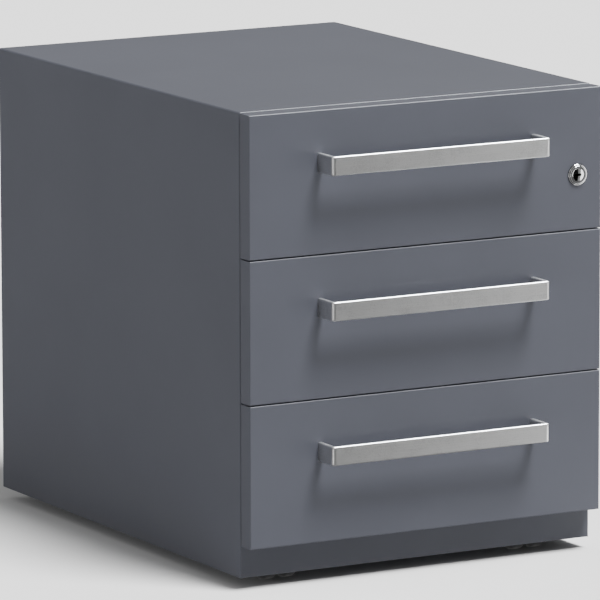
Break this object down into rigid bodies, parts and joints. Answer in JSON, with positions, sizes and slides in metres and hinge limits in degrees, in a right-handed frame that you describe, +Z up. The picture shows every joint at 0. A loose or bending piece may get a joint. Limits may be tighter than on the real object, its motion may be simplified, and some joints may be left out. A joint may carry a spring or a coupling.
{
  "type": "rolling pedestal cabinet",
  "caption": "Low steel office pedestal on swivelling twin-wheel casters, with equal drawers on full-length runners, square bow handles and a turning lock that drops a locking bar.",
  "frame": {"origin": "on the floor, in the middle of the cabinet's footprint, handles included", "axes": "+X to the cabinet's right side as seen from the front, +Y to its back, +Z up"},
  "size_m": [0.42, 0.596, 0.498],
  "materials": {
    "case_paint": "fine-textured powder coat",
    "front_paint": "fine-textured powder coat",
    "plinth_paint": "fine-textured powder coat",
    "brushed_handle": "brushed satin",
    "chrome": "polished",
    "zinc_steel": "bright zinc plated",
    "cast_iron": "rough painted",
    "black_plastic": "fine grain",
    "wheel_plastic": "satin",
    "soft_rubber": "matte"
  },
  "bodies": {
    "case": {"back_panel": "case_paint", "back_screws": "zinc_steel", "ballast_weight": "cast_iron", "bar_guides": "black_plastic", "base_pan": "case_paint", "carcass_shell": "case_paint", "caster_plates": "zinc_steel", "caster_screws": "zinc_steel", "front_buffers": "soft_rubber", "front_top_rail": "case_paint", "outer_runners_bottom": "zinc_steel", "outer_runners_middle": "zinc_steel", "outer_runners_top": "zinc_steel", "plinth_panel": "plinth_paint", "runner_uprights": "zinc_steel"},
    "locking_bar": {"locking_bar": "zinc_steel"},
    "lock_plug": {"lock_plug": "chrome", "lock_cam": "zinc_steel"},
    "drawer_bottom": {"front_skin_bottom": "front_paint", "front_liner_bottom": "case_paint", "drawer_box_bottom": "case_paint", "handle_bottom": "brushed_handle", "handle_screws_bottom": "zinc_steel", "inner_runners_bottom": "zinc_steel", "lock_catch_bottom": "zinc_steel"},
    "middle_runners_bottom": {"middle_runners_bottom": "zinc_steel"},
    "drawer_middle": {"front_skin_middle": "front_paint", "front_liner_middle": "case_paint", "drawer_box_middle": "case_paint", "handle_middle": "brushed_handle", "handle_screws_middle": "zinc_steel", "inner_runners_middle": "zinc_steel", "lock_catch_middle": "zinc_steel"},
    "middle_runners_middle": {"middle_runners_middle": "zinc_steel"},
    "drawer_top": {"front_skin_top": "front_paint", "front_liner_top": "case_paint", "drawer_box_top": "case_paint", "handle_top": "brushed_handle", "handle_screws_top": "zinc_steel", "inner_runners_top": "zinc_steel", "lock_catch_top": "zinc_steel", "lock_housing": "chrome", "lock_nut": "zinc_steel"},
    "middle_runners_top": {"middle_runners_top": "zinc_steel"},
    "caster_front_left": {"caster_hood_front_left": "black_plastic", "caster_axle_front_left": "zinc_steel"},
    "wheel_front_left_left": {"wheel_front_left_left": "wheel_plastic"},
    "wheel_front_left_right": {"wheel_front_left_right": "wheel_plastic"},
    "caster_front_right": {"caster_hood_front_right": "black_plastic", "caster_axle_front_right": "zinc_steel"},
    "wheel_front_right_left": {"wheel_front_right_left": "wheel_plastic"},
    "wheel_front_right_right": {"wheel_front_right_right": "wheel_plastic"},
    "caster_rear_left": {"caster_hood_rear_left": "black_plastic", "caster_axle_rear_left": "zinc_steel"},
    "wheel_rear_left_left": {"wheel_rear_left_left": "wheel_plastic"},
    "wheel_rear_left_right": {"wheel_rear_left_right": "wheel_plastic"},
    "caster_rear_right": {"caster_hood_rear_right": "black_plastic", "caster_axle_rear_right": "zinc_steel"},
    "wheel_rear_right_left": {"wheel_rear_right_left": "wheel_plastic"},
    "wheel_rear_right_right": {"wheel_rear_right_right": "wheel_plastic"}
  },
  "joints": [
    {"name": "drawer_bottom_slide", "type": "slide", "parent": "case", "child": "drawer_bottom", "axis": [0, -1, 0], "range_m": [0, 0.45]},
    {"name": "middle_runners_bottom_slide", "type": "slide", "parent": "case", "child": "middle_runners_bottom", "axis": [0, -1, 0], "range_m": [0, 0.225]},
    {"name": "drawer_middle_slide", "type": "slide", "parent": "case", "child": "drawer_middle", "axis": [0, -1, 0], "range_m": [0, 0.45]},
    {"name": "middle_runners_middle_slide", "type": "slide", "parent": "case", "child": "middle_runners_middle", "axis": [0, -1, 0], "range_m": [0, 0.225]},
    {"name": "drawer_top_slide", "type": "slide", "parent": "case", "child": "drawer_top", "axis": [0, -1, 0], "range_m": [0, 0.45]},
    {"name": "middle_runners_top_slide", "type": "slide", "parent": "case", "child": "middle_runners_top", "axis": [0, -1, 0], "range_m": [0, 0.225]},
    {"name": "lock_turn", "type": "hinge", "parent": "drawer_top", "child": "lock_plug", "pos_m": [0.181, -0.267, 0.4059], "axis": [0, 1, 0], "range_deg": [0, 90]},
    {"name": "locking_bar_slide", "type": "slide", "parent": "case", "child": "locking_bar", "axis": [0, 0, -1], "range_m": [0, 0.01697]},
    {"name": "swivel_front_left", "type": "hinge", "parent": "case", "child": "caster_front_left", "pos_m": [-0.15, -0.1945, 0.0448], "axis": [0, 0, 1], "continuous": true},
    {"name": "roll_front_left_left", "type": "hinge", "parent": "caster_front_left", "child": "wheel_front_left_left", "pos_m": [-0.15, -0.2095, 0.018], "axis": [1, 0, 0], "continuous": true},
    {"name": "roll_front_left_right", "type": "hinge", "parent": "caster_front_left", "child": "wheel_front_left_right", "pos_m": [-0.15, -0.2095, 0.018], "axis": [1, 0, 0], "continuous": true},
    {"name": "swivel_front_right", "type": "hinge", "parent": "case", "child": "caster_front_right", "pos_m": [0.15, -0.1945, 0.0448], "axis": [0, 0, 1], "continuous": true},
    {"name": "roll_front_right_left", "type": "hinge", "parent": "caster_front_right", "child": "wheel_front_right_left", "pos_m": [0.15, -0.2095, 0.018], "axis": [1, 0, 0], "continuous": true},
    {"name": "roll_front_right_right", "type": "hinge", "parent": "caster_front_right", "child": "wheel_front_right_right", "pos_m": [0.15, -0.2095, 0.018], "axis": [1, 0, 0], "continuous": true},
    {"name": "swivel_rear_left", "type": "hinge", "parent": "case", "child": "caster_rear_left", "pos_m": [-0.15, 0.247, 0.0448], "axis": [0, 0, 1], "continuous": true},
    {"name": "roll_rear_left_left", "type": "hinge", "parent": "caster_rear_left", "child": "wheel_rear_left_left", "pos_m": [-0.15, 0.232, 0.018], "axis": [1, 0, 0], "continuous": true},
    {"name": "roll_rear_left_right", "type": "hinge", "parent": "caster_rear_left", "child": "wheel_rear_left_right", "pos_m": [-0.15, 0.232, 0.018], "axis": [1, 0, 0], "continuous": true},
    {"name": "swivel_rear_right", "type": "hinge", "parent": "case", "child": "caster_rear_right", "pos_m": [0.15, 0.247, 0.0448], "axis": [0, 0, 1], "continuous": true},
    {"name": "roll_rear_right_left", "type": "hinge", "parent": "caster_rear_right", "child": "wheel_rear_right_left", "pos_m": [0.15, 0.232, 0.018], "axis": [1, 0, 0], "continuous": true},
    {"name": "roll_rear_right_right", "type": "hinge", "parent": "caster_rear_right", "child": "wheel_rear_right_right", "pos_m": [0.15, 0.232, 0.018], "axis": [1, 0, 0], "continuous": true}
  ],
  "couplings": [
    {"joint": "middle_runners_bottom_slide", "follows": "drawer_bottom_slide", "ratio": 0.5},
    {"joint": "middle_runners_middle_slide", "follows": "drawer_middle_slide", "ratio": 0.5},
    {"joint": "middle_runners_top_slide", "follows": "drawer_top_slide", "ratio": 0.5},
    {"joint": "lock_turn", "follows": "locking_bar_slide", "rad_per_m": 92.563}
  ]
}
